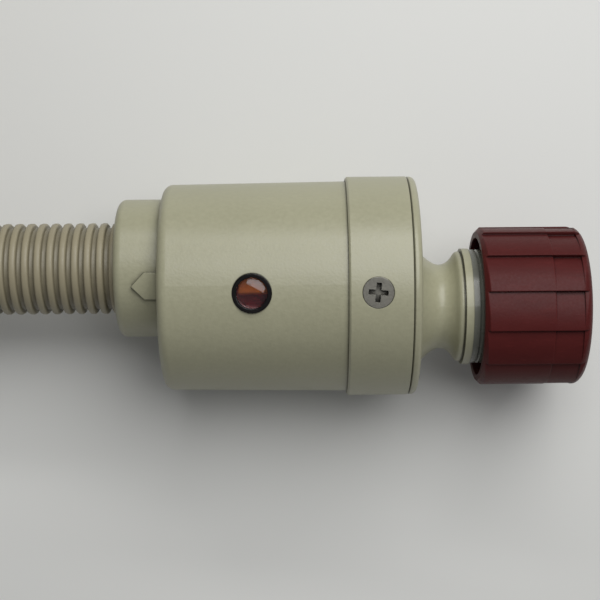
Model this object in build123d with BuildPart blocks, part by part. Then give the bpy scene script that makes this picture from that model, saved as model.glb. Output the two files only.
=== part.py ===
"""Mechanical water-stop valve on the tap end of an appliance inlet hose, in millimetres.

The housing lies on a table, z = 0.  +X runs from the hose to the tap nut, +Y is across and
+Z is up.  The origin is under the middle of the valve, measured without its hose.
"""

import math
import os

from build123d import *

os.makedirs("parts", exist_ok=True)

# ---------------------------------------------------------------- driving dimensions
# Housing, from the hose end to the tap end.
collar_length = 9.2
collar_radius = 14.0
collar_edge = 1.6
collar_bore_depth = 6.0
collar_mouth_chamfer = 0.4
collar_sleeve_wall = 3.0
collar_snap_height = 0.8
collar_snap_length = 1.2
barrel_length = 36.7
barrel_rear_radius = 20.9
barrel_front_radius = 21.35
barrel_bore_radius = 18.7
barrel_rear_wall = 2.4
barrel_edge = 1.9
barrel_spigot_length = 3.0
ring_length = 12.2
ring_radius = 22.25
ring_bore_radius = 20.0
ring_edge = 0.35
cover_thickness = 1.8
cover_step = 0.05
cover_edge = 1.1
cover_seam_chamfer = 0.4
cover_skirt_length = 7.6
cover_skirt_wall = 3.6
neck_length = 9.4
neck_root_radius = 12.4
neck_root_slope = -1.25
neck_shoulder_place = 2.1
neck_shoulder_radius = 10.1
neck_waist_share = 0.56
neck_waist_radius = 8.55
neck_mouth_radius = 11.2
neck_mouth_slope = 0.12
neck_swell_share = 0.83
neck_swell_drop = 0.9
neck_rim_length = 0.6
neck_groove = 0.35
neck_spigot_radius = 9.0
neck_bore_radius = 5.6
flange_thickness = 1.5
flange_radius = 11.8
outlet_offset = 4.0
inlet_offset = 4.35

# Tap union, G 3/4.
thread_minor_radius = 12.06
thread_major_radius = 13.22
thread_pitch = 1.814
thread_turns = 5
thread_mouth_chamfer = 0.8
thread_relief_radius = 13.4
nut_gap = 1.7
nut_length = 21.0
nut_radius = 16.2
nut_panels = 13
nut_edge_angle = 79.8
nut_step = 0.55
nut_panel_bow = 0.32
nut_back_edge = 1.0
nut_front_edge = 2.4
nut_back_bore_radius = 14.0
nut_relief_length = 7.4
nut_relief_depth = 0.32
lip_depth = 3.3
lip_thickness = 2.2
nut_play = 1.5
slip_ring_thickness = 0.8
thrust_ring_radius = 11.6
thrust_groove_place = 1.2
thrust_groove_width = 0.5
thrust_groove_depth = 0.3
thrust_land_length = 2.9
thrust_taper = 1.1
tailpiece_thickness = 1.8
tailpiece_radius = 11.7
washer_thickness = 2.5
washer_radius = 11.9
washer_bore_radius = 7.6
filter_rim_radius = 7.3
filter_rim_thickness = 1.2
filter_cup_radius = 4.9
filter_cup_length = 14.0
filter_cup_taper = 0.6
filter_wall = 0.7
filter_hole = 0.85
filter_hole_pitch = 1.5
filter_hole_rows = 4
filter_slot_length = 1.0
filter_slot_width = 0.9
filter_slot_place = 2.2
filter_slot_pitch = 1.75
filter_slots = 6

# Indicator window, flow arrow and screws; roll is measured from +Z towards -Y.
feature_roll = 4.0
window_place = 18.3
bezel_radius = 3.775
bezel_bore_radius = 3.0
bezel_sink = 0.4
bezel_stand = 0.05
lens_sink = 0.7
lens_crown = 0.45
screw_place = 5.5
screw_count = 3
screw_head_radius = 3.0
screw_head_depth = 1.7
screw_sink = 0.15
screw_shank_radius = 1.3
screw_tip_gap = 0.15
screw_cross_span = 3.7
screw_cross_width = 0.95
screw_cross_depth = 1.1
screw_cross_turn = -5
arrow_roll = 15.6
arrow_width = 5.3
arrow_length = 5.4
arrow_point = 2.5
arrow_height = 0.8

# Water duct and shut-off mechanism inside the housing.
pot_radius = 12.6
pot_side_wall = 1.8
pot_wall = 2.0
pot_setback = 11.15
pot_flange_radius = 16.0
pot_flange_thickness = 3.0
seal_section = 1.6
seal_middle_radius = 13.9
seal_groove_gap = 0.2
seat_place = 6.0
seat_thickness = 2.0
seat_bore_radius = 5.0
seat_lip = 1.0
seat_lip_wall = 1.0
seat_lip_foot = 1.6
trip_travel = 4.0
closed_gap = 0.1
shutter_radius = 7.6
shutter_thickness = 1.4
shutter_seal_radius = 7.2
shutter_seal_thickness = 1.1
stem_radius = 2.0
stem_chamfer = 0.4
stem_end_gap = 0.45
core_radius = 5.4
core_length = 9.0
core_chamfer = 0.5
retainer_place = 5.0
retainer_thickness = 1.6
retainer_holes = 5
retainer_hole_radius = 2.3
spring_wire_radius = 0.4
spring_radius = 6.9
spring_turns = 6
carrier_bore_gap = 0.2
carrier_wall = 0.9
carrier_end_rim = 0.6
carrier_flange_radius = 16.8
carrier_flange_thickness = 1.5
magnet_length = 8.0
magnet_radius = 16.0
magnet_chamfer = 0.3
flag_length = 11.0
flag_width = 7.4
flag_thickness = 0.7
flag_radius = 17.25
flag_foot_length = 2.0
flag_foot_width = 5.4
swelling_bore_radius = 12.9
swelling_radius = 17.0
swelling_length = 11.6
backing_thickness = 1.2
backing_rest_bore_radius = 16.6
backing_rest_length = 2.15
backing_holes = 12
backing_hole_radius = 1.5

# Hose: corrugated jacket round a pressure hose.
hose_radius = 9.3
jacket_bore_radius = 7.8
inner_hose_radius = 7.0
inner_hose_bore_radius = 5.03
spigot_radius = 4.5
spigot_barb = 0.5
spigot_barb_length = 3.0
spigot_barb_pitch = 4.2
spigot_bore_radius = 3.6
spigot_length = 21.0
spigot_flange_radius = 6.6
spigot_flange_thickness = 1.6
spigot_barbs = 3
inner_hose_setback = 1.0
ferrule_length = 14.0
ferrule_wall = 0.7
ferrule_setback = 2.0
coil_allowance = 0.5
tie_thickness = 0.8
tie_width = 12.0
tie_angles = [142, 222]

# Machine end of the hose.
machine_ferrule_radius = 10.9
machine_ferrule_length = 22.0
machine_ferrule_overlap = 16.0
machine_ferrule_rear_edge = 1.5
machine_ferrule_rear_drop = 0.8
machine_ferrule_front_edge = 2.0
machine_ferrule_front_drop = 1.5
machine_neck_radius = 8.0
machine_neck_length = 5.0
machine_head_thickness = 2.4
machine_nut_radius = 15.5
machine_nut_length = 14.4
machine_nut_back_wall = 2.6
machine_nut_back_edge = 1.5
machine_nut_front_edge = 1.0
machine_nut_ribs = 24
machine_thread_turns = 3
rib_width = 1.6
rib_depth = 0.5

# Clearances, and how far a cut runs past the face that it opens.
sliding_gap = 0.05
easy_gap = 0.3
jacket_gap = 0.45
tie_gap = 0.3
through = 1.0

# ---------------------------------------------------------------- stations along X
valve_length = (
    collar_length
    + barrel_length
    + ring_length
    + cover_thickness
    + neck_length
    + flange_thickness
    + nut_gap
    + nut_length
)
collar_face = -valve_length / 2
barrel_rear = collar_face + collar_length
ring_start = barrel_rear + barrel_length
cover_start = ring_start + ring_length
cover_face = cover_start + cover_thickness
flange_start = cover_face + neck_length
flange_end = flange_start + flange_thickness
nut_back = flange_end + nut_gap
nut_front = nut_back + nut_length
lip_start = nut_back + lip_depth
lip_end = lip_start + lip_thickness
slip_ring_end = lip_end + slip_ring_thickness
tailpiece_end = slip_ring_end + tailpiece_thickness
washer_end = tailpiece_end + washer_thickness
window_x = barrel_rear + window_place
screw_x = ring_start + screw_place
pot_front = cover_start
barrel_floor = barrel_rear + barrel_rear_wall
pot_rear = barrel_floor + pot_setback
pot_bore_radius = pot_radius - pot_side_wall
pot_inside = pot_rear + pot_wall
seat_front = pot_inside + seat_place + seat_thickness
seal_back = seat_front + seat_lip + trip_travel + closed_gap
shutter_back = seal_back + shutter_seal_thickness
shutter_front = shutter_back + shutter_thickness
core_front = shutter_front + core_length
stem_front = pot_front - stem_end_gap
backing_start = barrel_floor + backing_rest_length
swelling_start = backing_start + backing_thickness
carrier_start = swelling_start + swelling_length
magnet_start = core_front - magnet_length
carrier_end = core_front + carrier_end_rim
spigot_flange_start = pot_rear - spigot_flange_thickness
spigot_end = spigot_flange_start - spigot_length
jacket_start = collar_face + collar_bore_depth

# ---------------------------------------------------------------- axes and planes
axis_height = ring_radius
outlet_y = outlet_offset
inlet_y = -inlet_offset


def station(x, y):
    """A plane square to the housing, whose origin is on the axis at that y."""
    return Plane(origin=(x, y, axis_height), x_dir=(0, 1, 0), z_dir=(1, 0, 0))


def profile_plane(y):
    """A plane through the axis at that y: its x is along the axis, its y is the radius."""
    return Plane(origin=(0, y, axis_height), x_dir=(1, 0, 0), z_dir=(0, -1, 0))


def turning_axis(y):
    return Axis((0, y, axis_height), (1, 0, 0))


def radial_plane(x, y, roll):
    """A plane on the axis at that y whose normal points outwards at that roll."""
    turn = math.radians(roll)
    outwards = (0, -math.sin(turn), math.cos(turn))
    return Plane(origin=(x, y, axis_height), x_dir=(1, 0, 0), z_dir=outwards)


def thread_profile(start, land_radius, root_radius, turns):
    """The bore outline of an internal thread as (x, radius) points, one V groove a turn."""
    land = thread_pitch / 4
    points = []
    for turn in range(turns):
        groove = start + turn * thread_pitch + land
        points.append((groove, land_radius))
        points.append((groove + (thread_pitch - land) / 2, root_radius))
        points.append((groove + thread_pitch - land, land_radius))
    points.append((start + turns * thread_pitch + land, land_radius))
    return points


def write(part, name):
    part.label = name
    export_step(part, f"parts/{name}.step")


# ---------------------------------------------------------------- hose collar with its flow arrow
collar_inner_bore = inner_hose_radius + ferrule_wall + easy_gap
collar_sleeve_radius = collar_inner_bore + collar_sleeve_wall
collar_snap_radius = collar_sleeve_radius + collar_snap_height
collar_snap_start = barrel_floor + easy_gap

with BuildPart() as flow_arrow:
    with BuildSketch(radial_plane(barrel_rear, outlet_y, arrow_roll)):
        with BuildLine():
            Polyline(
                (0, arrow_width / 2),
                (arrow_point - arrow_length, arrow_width / 2),
                (-arrow_length, 0),
                (arrow_point - arrow_length, -arrow_width / 2),
                (0, -arrow_width / 2),
                close=True,
            )
        make_face()
    extrude(amount=collar_radius + 2 * arrow_height)
    with BuildSketch(station(collar_face, outlet_y)):
        Circle(collar_radius + arrow_height)
        Circle(collar_radius - arrow_height, mode=Mode.SUBTRACT)
    extrude(amount=collar_length, mode=Mode.INTERSECT)

with BuildPart() as hose_collar:
    with BuildSketch(profile_plane(outlet_y)):
        with BuildLine():
            Polyline(
                (collar_face, hose_radius + jacket_gap),
                (collar_face, collar_radius),
                (barrel_rear, collar_radius),
                (barrel_rear, collar_sleeve_radius),
                (collar_snap_start, collar_sleeve_radius),
                (collar_snap_start, collar_snap_radius),
                (collar_snap_start + collar_snap_length, collar_sleeve_radius),
                (collar_snap_start + collar_snap_length, collar_inner_bore),
                (jacket_start, collar_inner_bore),
                (jacket_start, hose_radius + jacket_gap),
                close=True,
            )
        make_face()
    revolve(axis=turning_axis(outlet_y))
    face_edges = hose_collar.edges().filter_by(GeomType.CIRCLE).group_by(Axis.X)[0]
    fillet(face_edges.sort_by(SortBy.RADIUS)[-1], collar_edge)
    chamfer(
        hose_collar.edges().filter_by(GeomType.CIRCLE).group_by(Axis.X)[0].sort_by(SortBy.RADIUS)[0],
        collar_mouth_chamfer,
    )
    add(flow_arrow.part)
write(hose_collar.part, "hose_collar")

# ---------------------------------------------------------------- main barrel
with BuildPart() as main_barrel:
    with BuildSketch(profile_plane(0)):
        with BuildLine():
            Polyline(
                (barrel_rear, 0),
                (barrel_rear, barrel_rear_radius),
                (ring_start, barrel_front_radius),
                (ring_start, ring_bore_radius - sliding_gap),
                (ring_start + barrel_spigot_length, ring_bore_radius - sliding_gap),
                (ring_start + barrel_spigot_length, barrel_bore_radius),
                (backing_start, barrel_bore_radius),
                (backing_start, backing_rest_bore_radius),
                (barrel_floor, backing_rest_bore_radius),
                (barrel_floor, 0),
                close=True,
            )
        make_face()
    revolve(axis=turning_axis(0))
    rear_edges = main_barrel.edges().filter_by(GeomType.CIRCLE).group_by(Axis.X)[0]
    fillet(rear_edges, barrel_edge)
    with BuildSketch(station(barrel_rear, outlet_y)):
        Circle(collar_sleeve_radius + sliding_gap)
    extrude(amount=barrel_rear_wall, mode=Mode.SUBTRACT)
    with BuildSketch(radial_plane(window_x, 0, feature_roll)):
        Circle(bezel_radius + sliding_gap)
    extrude(amount=ring_radius, mode=Mode.SUBTRACT)
write(main_barrel.part, "main_barrel")

# ---------------------------------------------------------------- indicator window
window_share = window_place / barrel_length
barrel_radius_at_window = (
    barrel_rear_radius + (barrel_front_radius - barrel_rear_radius) * window_share
)
bezel_foot = barrel_bore_radius - bezel_sink
bezel_top = barrel_radius_at_window + bezel_stand

with BuildPart() as window_bezel:
    with BuildSketch(radial_plane(window_x, 0, feature_roll).offset(bezel_foot)):
        Circle(bezel_radius)
        Circle(bezel_bore_radius, mode=Mode.SUBTRACT)
    extrude(amount=bezel_top - bezel_foot)
write(window_bezel.part, "window_bezel")

lens_plane = radial_plane(window_x, 0, feature_roll)
lens_radius = bezel_bore_radius - sliding_gap
lens_edge_height = bezel_top - lens_sink

with BuildPart() as indicator_lens:
    with BuildSketch(Plane(origin=lens_plane.origin, x_dir=(1, 0, 0), z_dir=-lens_plane.y_dir)):
        with BuildLine():
            Polyline(
                (0, lens_edge_height + lens_crown),
                (0, bezel_foot),
                (lens_radius, bezel_foot),
                (lens_radius, lens_edge_height),
            )
            TangentArc(
                (0, lens_edge_height + lens_crown),
                (lens_radius, lens_edge_height),
                tangent=(1, 0),
            )
        make_face()
    revolve(axis=Axis(lens_plane.origin, lens_plane.z_dir))
write(indicator_lens.part, "indicator_lens")

# ---------------------------------------------------------------- screw ring and its screws
screw_rolls = [feature_roll + turn * 360 / screw_count for turn in range(screw_count)]
screw_top = ring_radius - screw_sink
skirt_radius = ring_bore_radius - sliding_gap
skirt_bore_radius = skirt_radius - cover_skirt_wall
screw_tip = skirt_bore_radius + screw_tip_gap

with BuildPart() as screw_ring:
    with BuildSketch(station(ring_start, 0)):
        Circle(ring_radius)
        Circle(ring_bore_radius, mode=Mode.SUBTRACT)
    extrude(amount=ring_length)
    chamfer(
        screw_ring.edges().filter_by(GeomType.CIRCLE).group_by(Axis.X)[0].sort_by(SortBy.RADIUS)[-1],
        ring_edge,
    )
    for roll in screw_rolls:
        with BuildSketch(radial_plane(screw_x, 0, roll).offset(ring_bore_radius - through)):
            Circle(screw_shank_radius + sliding_gap)
        extrude(amount=ring_radius, mode=Mode.SUBTRACT)
        with BuildSketch(radial_plane(screw_x, 0, roll).offset(screw_top - screw_head_depth)):
            Circle(screw_shank_radius + sliding_gap)
        with BuildSketch(radial_plane(screw_x, 0, roll).offset(screw_top)):
            Circle(screw_head_radius + sliding_gap)
        loft(mode=Mode.SUBTRACT)
        with BuildSketch(radial_plane(screw_x, 0, roll).offset(screw_top)):
            Circle(screw_head_radius + sliding_gap)
        extrude(amount=through, mode=Mode.SUBTRACT)
write(screw_ring.part, "screw_ring")

with BuildPart() as ring_screws:
    for roll in screw_rolls:
        with BuildSketch(radial_plane(screw_x, 0, roll).offset(screw_tip)):
            Circle(screw_shank_radius)
        extrude(amount=screw_top - screw_head_depth - screw_tip)
        with BuildSketch(radial_plane(screw_x, 0, roll).offset(screw_top - screw_head_depth)):
            Circle(screw_shank_radius)
        with BuildSketch(radial_plane(screw_x, 0, roll).offset(screw_top)):
            Circle(screw_head_radius)
        loft()
        with BuildSketch(radial_plane(screw_x, 0, roll).offset(screw_top - screw_cross_depth)):
            Rectangle(screw_cross_span, screw_cross_width, rotation=screw_cross_turn)
            Rectangle(screw_cross_width, screw_cross_span, rotation=screw_cross_turn)
        extrude(amount=2 * screw_cross_depth, mode=Mode.SUBTRACT)
write(ring_screws.part, "ring_screws")

# ---------------------------------------------------------------- end cover with the inlet neck
cover_radius = ring_radius - cover_step
waist_x = cover_face + neck_waist_share * neck_length
swell_x = cover_face + neck_swell_share * neck_length

with BuildPart() as end_cover:
    with BuildSketch(station(cover_start, 0)):
        Circle(cover_radius)
    extrude(amount=cover_thickness)
    fillet(
        end_cover.edges().filter_by(GeomType.CIRCLE).group_by(Axis.X)[-1],
        cover_edge,
    )
    chamfer(
        end_cover.edges().filter_by(GeomType.CIRCLE).group_by(Axis.X)[0],
        cover_seam_chamfer,
    )
    with BuildSketch(station(cover_start - cover_skirt_length, 0)):
        Circle(skirt_radius)
        Circle(skirt_bore_radius, mode=Mode.SUBTRACT)
    extrude(amount=cover_skirt_length)
    for roll in screw_rolls:
        with BuildSketch(radial_plane(screw_x, 0, roll).offset(skirt_bore_radius - through)):
            Circle(screw_shank_radius + sliding_gap)
        extrude(amount=cover_skirt_wall + 2 * through, mode=Mode.SUBTRACT)
    with BuildSketch(profile_plane(inlet_y)):
        with BuildLine():
            Polyline(
                (tailpiece_end, neck_spigot_radius),
                (tailpiece_end, 0),
                (cover_start + cover_thickness / 2, 0),
                (cover_start + cover_thickness / 2, neck_root_radius),
                (cover_face, neck_root_radius),
            )
            neck_waist = Spline(
                (cover_face, neck_root_radius),
                (cover_face + neck_shoulder_place, neck_shoulder_radius),
                (waist_x, neck_waist_radius),
                (swell_x, neck_mouth_radius - neck_swell_drop),
                (flange_start - neck_rim_length, neck_mouth_radius),
                tangents=((1, neck_root_slope), (1, neck_mouth_slope)),
            )
            Polyline(
                neck_waist @ 1,
                (flange_start - neck_groove, neck_mouth_radius),
                (flange_start - neck_groove, neck_mouth_radius - neck_groove),
                (flange_start, neck_mouth_radius - neck_groove),
                (flange_start, flange_radius),
                (flange_end, flange_radius),
                (flange_end, neck_spigot_radius),
                (tailpiece_end, neck_spigot_radius),
            )
        make_face()
    revolve(axis=turning_axis(inlet_y))
    with BuildSketch(station(cover_start - cover_thickness, inlet_y)):
        Circle(neck_bore_radius)
    extrude(amount=tailpiece_end - cover_start + 2 * cover_thickness, mode=Mode.SUBTRACT)
    with BuildSketch(station(tailpiece_end, inlet_y)):
        Circle(filter_rim_radius + sliding_gap)
    extrude(amount=-filter_rim_thickness, mode=Mode.SUBTRACT)
write(end_cover.part, "end_cover")

# ---------------------------------------------------------------- rings on the neck's spigot
thrust_ring_end = lip_start - nut_play - easy_gap
thrust_groove_start = flange_end + thrust_groove_place

with BuildPart() as thrust_ring:
    with BuildSketch(profile_plane(inlet_y)):
        with BuildLine():
            Polyline(
                (flange_end, neck_spigot_radius + sliding_gap),
                (flange_end, thrust_ring_radius),
                (thrust_groove_start, thrust_ring_radius),
                (thrust_groove_start + thrust_groove_width / 2, thrust_ring_radius - thrust_groove_depth),
                (thrust_groove_start + thrust_groove_width, thrust_ring_radius),
                (flange_end + thrust_land_length, thrust_ring_radius),
                (thrust_ring_end, thrust_ring_radius - thrust_taper),
                (thrust_ring_end, neck_spigot_radius + sliding_gap),
                close=True,
            )
        make_face()
    revolve(axis=turning_axis(inlet_y))
write(thrust_ring.part, "thrust_ring")

slip_bore_radius = neck_spigot_radius + 3 * sliding_gap

with BuildPart() as slip_ring:
    with BuildSketch(station(lip_end + sliding_gap, inlet_y)):
        Circle(tailpiece_radius)
        Circle(slip_bore_radius, mode=Mode.SUBTRACT)
    extrude(amount=slip_ring_thickness - 2 * sliding_gap)
write(slip_ring.part, "slip_ring")

with BuildPart() as inlet_tailpiece:
    with BuildSketch(station(slip_ring_end, inlet_y)):
        Circle(tailpiece_radius)
        Circle(neck_spigot_radius + sliding_gap, mode=Mode.SUBTRACT)
    extrude(amount=tailpiece_thickness)
write(inlet_tailpiece.part, "inlet_tailpiece")

with BuildPart() as inlet_washer:
    with BuildSketch(station(tailpiece_end, inlet_y)):
        Circle(washer_radius)
        Circle(washer_bore_radius, mode=Mode.SUBTRACT)
    extrude(amount=washer_thickness)
write(inlet_washer.part, "inlet_washer")

# ---------------------------------------------------------------- inlet filter
filter_bottom = tailpiece_end - filter_cup_length

with BuildPart() as inlet_filter:
    with BuildSketch(station(tailpiece_end - filter_rim_thickness, inlet_y)):
        Circle(filter_rim_radius)
    extrude(amount=filter_rim_thickness)
    with BuildSketch(station(filter_bottom, inlet_y)):
        Circle(filter_cup_radius - filter_cup_taper)
    with BuildSketch(station(tailpiece_end - filter_rim_thickness, inlet_y)):
        Circle(filter_cup_radius)
    loft()
    with BuildSketch(station(filter_bottom + filter_wall, inlet_y)):
        Circle(filter_cup_radius - filter_cup_taper - filter_wall)
    with BuildSketch(station(tailpiece_end, inlet_y)):
        Circle(filter_cup_radius - filter_wall)
    loft(mode=Mode.SUBTRACT)
    with BuildSketch(station(filter_bottom - through, inlet_y)):
        with GridLocations(filter_hole_pitch, filter_hole_pitch, filter_hole_rows, filter_hole_rows):
            Rectangle(filter_hole, filter_hole)
    extrude(amount=2 * through + filter_wall, mode=Mode.SUBTRACT)
    for slot in range(filter_slots):
        slot_x = filter_bottom + filter_slot_place + filter_slot_pitch * slot
        with BuildSketch(Plane(origin=(slot_x, inlet_y, axis_height), z_dir=(0, 0, 1))):
            Rectangle(filter_slot_length, filter_slot_width)
        extrude(amount=filter_cup_radius + through, both=True, mode=Mode.SUBTRACT)
        with BuildSketch(Plane(origin=(slot_x, inlet_y, axis_height), x_dir=(1, 0, 0), z_dir=(0, 1, 0))):
            Rectangle(filter_slot_length, filter_slot_width)
        extrude(amount=filter_cup_radius + through, both=True, mode=Mode.SUBTRACT)
write(inlet_filter.part, "inlet_filter")

# ---------------------------------------------------------------- tap union nut
thread_start = washer_end
lip_bore_radius = neck_spigot_radius + 3 * sliding_gap
thread_points = thread_profile(thread_start, thread_minor_radius, thread_major_radius, thread_turns)
panel_angle = 360 / nut_panels
relief_end = nut_front - nut_front_edge * 3 / 4


def polar(radius, degrees):
    return (radius * math.cos(math.radians(degrees)), radius * math.sin(math.radians(degrees)))


def grip_outline(step, bow):
    """The nut's outline: curved panels, each rising to a small step down to the next one."""
    for panel in range(nut_panels):
        low_end = nut_edge_angle + panel * panel_angle
        high_end = low_end + panel_angle
        ThreePointArc(
            polar(nut_radius - step, low_end),
            polar(nut_radius - step + bow, low_end + panel_angle / 2),
            polar(nut_radius, high_end),
        )
        Line(polar(nut_radius, high_end), polar(nut_radius - step, high_end))


with BuildPart() as union_nut:
    with BuildSketch(station(nut_back, inlet_y)):
        with BuildLine():
            grip_outline(nut_step, nut_panel_bow)
        make_face()
    extrude(amount=nut_length)
    with BuildSketch(profile_plane(inlet_y)):
        with BuildLine():
            Polyline(
                (nut_front - nut_front_edge, nut_radius),
                (nut_back + nut_back_edge, nut_radius),
                (nut_back, nut_radius - nut_back_edge),
                (nut_back, 0),
                (nut_front, 0),
                (nut_front, nut_radius - nut_front_edge),
            )
            RadiusArc(
                (nut_front, nut_radius - nut_front_edge),
                (nut_front - nut_front_edge, nut_radius),
                -nut_front_edge,
            )
        make_face()
    revolve(axis=turning_axis(inlet_y), mode=Mode.INTERSECT)
    with BuildSketch(station(nut_front - nut_relief_length, inlet_y)):
        Circle(nut_radius + through)
        with BuildLine():
            grip_outline(nut_step + nut_relief_depth, nut_panel_bow + nut_relief_depth / 2)
        make_face(mode=Mode.SUBTRACT)
    extrude(amount=relief_end - (nut_front - nut_relief_length), mode=Mode.SUBTRACT)
    with BuildSketch(profile_plane(inlet_y)):
        with BuildLine():
            Polyline(
                (nut_back, 0),
                (nut_back, nut_back_bore_radius),
                (lip_start, nut_back_bore_radius),
                (lip_start, lip_bore_radius),
                (lip_end, lip_bore_radius),
                (lip_end, thread_relief_radius),
                (thread_start, thread_relief_radius),
                (thread_start, thread_minor_radius),
                *thread_points,
                (nut_front - thread_mouth_chamfer, thread_minor_radius),
                (nut_front, thread_minor_radius + thread_mouth_chamfer),
                (nut_front, 0),
                close=True,
            )
        make_face()
    revolve(axis=turning_axis(inlet_y), mode=Mode.SUBTRACT)
write(union_nut.part, "union_nut")

# ---------------------------------------------------------------- water duct
seal_groove_half = seal_section / 2 + seal_groove_gap

with BuildPart() as valve_body:
    with BuildSketch(profile_plane(0)):
        with BuildLine():
            Polyline(
                (pot_rear, 0),
                (pot_rear, pot_radius),
                (pot_front - pot_flange_thickness, pot_radius),
                (pot_front - pot_flange_thickness, pot_flange_radius),
                (pot_front, pot_flange_radius),
                (pot_front, pot_bore_radius),
                (pot_inside, pot_bore_radius),
                (pot_inside, 0),
                close=True,
            )
        make_face()
    revolve(axis=turning_axis(0))
    with BuildSketch(station(pot_front, 0)):
        Circle(seal_middle_radius + seal_groove_half)
        Circle(seal_middle_radius - seal_groove_half, mode=Mode.SUBTRACT)
    extrude(amount=-seal_section, mode=Mode.SUBTRACT)
    with BuildSketch(station(pot_rear, outlet_y)):
        Circle(spigot_radius + sliding_gap)
    extrude(amount=pot_wall, mode=Mode.SUBTRACT)
write(valve_body.part, "valve_body")

with BuildPart() as body_seal:
    with BuildSketch(profile_plane(0)):
        with Locations((pot_front - seal_section / 2, seal_middle_radius)):
            Circle(seal_section / 2)
    revolve(axis=turning_axis(0))
write(body_seal.part, "body_seal")

with BuildPart() as valve_seat:
    with BuildSketch(profile_plane(0)):
        with BuildLine():
            Polyline(
                (seat_front - seat_thickness, seat_bore_radius),
                (seat_front - seat_thickness, pot_bore_radius - sliding_gap),
                (seat_front, pot_bore_radius - sliding_gap),
                (seat_front, seat_bore_radius + seat_lip_foot),
                (seat_front + seat_lip, seat_bore_radius + seat_lip_wall),
                (seat_front + seat_lip, seat_bore_radius),
                close=True,
            )
        make_face()
    revolve(axis=turning_axis(0))
write(valve_seat.part, "valve_seat")

# ---------------------------------------------------------------- shutter
with BuildPart() as shutter:
    with BuildSketch(station(shutter_back, 0)):
        Circle(shutter_radius)
    extrude(amount=shutter_thickness)
    with BuildSketch(station(shutter_front, 0)):
        Circle(stem_radius)
    extrude(amount=stem_front - shutter_front)
    chamfer(shutter.edges().group_by(Axis.X)[-1], stem_chamfer)
write(shutter.part, "shutter")

with BuildPart() as shutter_seal:
    with BuildSketch(station(seal_back, 0)):
        Circle(shutter_seal_radius)
    extrude(amount=shutter_seal_thickness)
write(shutter_seal.part, "shutter_seal")

with BuildPart() as shutter_core:
    with BuildSketch(station(shutter_front, 0)):
        Circle(core_radius)
        Circle(stem_radius + sliding_gap, mode=Mode.SUBTRACT)
    extrude(amount=core_length)
    chamfer(shutter_core.edges().filter_by(GeomType.CIRCLE).group_by(Axis.X)[-1], core_chamfer)
write(shutter_core.part, "shutter_core")

retainer_end = pot_front - retainer_place
retainer_start = retainer_end - retainer_thickness

with BuildPart() as spring_retainer:
    with BuildSketch(station(retainer_start, 0)):
        Circle(pot_bore_radius - sliding_gap)
        Circle(stem_radius + sliding_gap, mode=Mode.SUBTRACT)
        with PolarLocations((pot_bore_radius + stem_radius) / 2, retainer_holes):
            Circle(retainer_hole_radius, mode=Mode.SUBTRACT)
    extrude(amount=retainer_thickness)
write(spring_retainer.part, "spring_retainer")

# ---------------------------------------------------------------- closing spring
spring_start = shutter_front + spring_wire_radius + sliding_gap
spring_height = retainer_start - spring_wire_radius - sliding_gap - spring_start

with BuildPart() as closing_spring:
    with BuildLine():
        spring_line = Helix(
            pitch=spring_height / spring_turns,
            height=spring_height,
            radius=spring_radius,
            center=(spring_start, 0, axis_height),
            direction=(1, 0, 0),
        )
    with BuildSketch(Plane(origin=spring_line @ 0, z_dir=spring_line % 0)):
        Circle(spring_wire_radius)
    sweep(path=spring_line, is_frenet=True)
write(closing_spring.part, "closing_spring")

# ---------------------------------------------------------------- trip: carrier, magnet and flag
carrier_bore_radius = pot_radius + carrier_bore_gap
carrier_radius = carrier_bore_radius + carrier_wall

with BuildPart() as magnet_carrier:
    with BuildSketch(profile_plane(0)):
        with BuildLine():
            Polyline(
                (carrier_start, carrier_bore_radius),
                (carrier_start, carrier_flange_radius),
                (carrier_start + carrier_flange_thickness, carrier_flange_radius),
                (carrier_start + carrier_flange_thickness, carrier_radius),
                (carrier_end, carrier_radius),
                (carrier_end, carrier_bore_radius),
                close=True,
            )
        make_face()
    revolve(axis=turning_axis(0))
write(magnet_carrier.part, "magnet_carrier")

with BuildPart() as ring_magnet:
    with BuildSketch(station(magnet_start, 0)):
        Circle(magnet_radius)
        Circle(carrier_radius + sliding_gap, mode=Mode.SUBTRACT)
    extrude(amount=magnet_length)
    chamfer(ring_magnet.edges().filter_by(GeomType.CIRCLE).sort_by(SortBy.RADIUS)[-2:], magnet_chamfer)
write(ring_magnet.part, "ring_magnet")

flag_start = window_x - flag_length / 2
flag_foot_middle = carrier_start + carrier_flange_thickness + flag_foot_length / 2

with BuildPart() as indicator_flag:
    with BuildSketch(radial_plane(window_x, 0, feature_roll)):
        Rectangle(flag_length, flag_width)
    extrude(amount=ring_radius)
    with BuildSketch(station(flag_start - through, 0)):
        Circle(flag_radius + flag_thickness)
        Circle(flag_radius, mode=Mode.SUBTRACT)
    extrude(amount=flag_length + 2 * through, mode=Mode.INTERSECT)
    with BuildSketch(radial_plane(flag_foot_middle, 0, feature_roll).offset(carrier_radius)):
        Rectangle(flag_foot_length, flag_foot_width)
    extrude(amount=flag_radius + flag_thickness / 2 - carrier_radius)
write(indicator_flag.part, "indicator_flag")

# ---------------------------------------------------------------- swelling ring and its backing
with BuildPart() as backing_ring:
    with BuildSketch(station(backing_start, 0)):
        Circle(barrel_bore_radius - sliding_gap)
        Circle(swelling_bore_radius, mode=Mode.SUBTRACT)
        with PolarLocations((swelling_bore_radius + swelling_radius) / 2, backing_holes):
            Circle(backing_hole_radius, mode=Mode.SUBTRACT)
    extrude(amount=backing_thickness)
write(backing_ring.part, "backing_ring")

with BuildPart() as swelling_ring:
    with BuildSketch(station(swelling_start, 0)):
        Circle(swelling_radius)
        Circle(swelling_bore_radius, mode=Mode.SUBTRACT)
    extrude(amount=swelling_length)
write(swelling_ring.part, "swelling_ring")

# ---------------------------------------------------------------- outlet spigot and crimp ferrule
barb_root_radius = spigot_radius - 2 * sliding_gap

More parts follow.
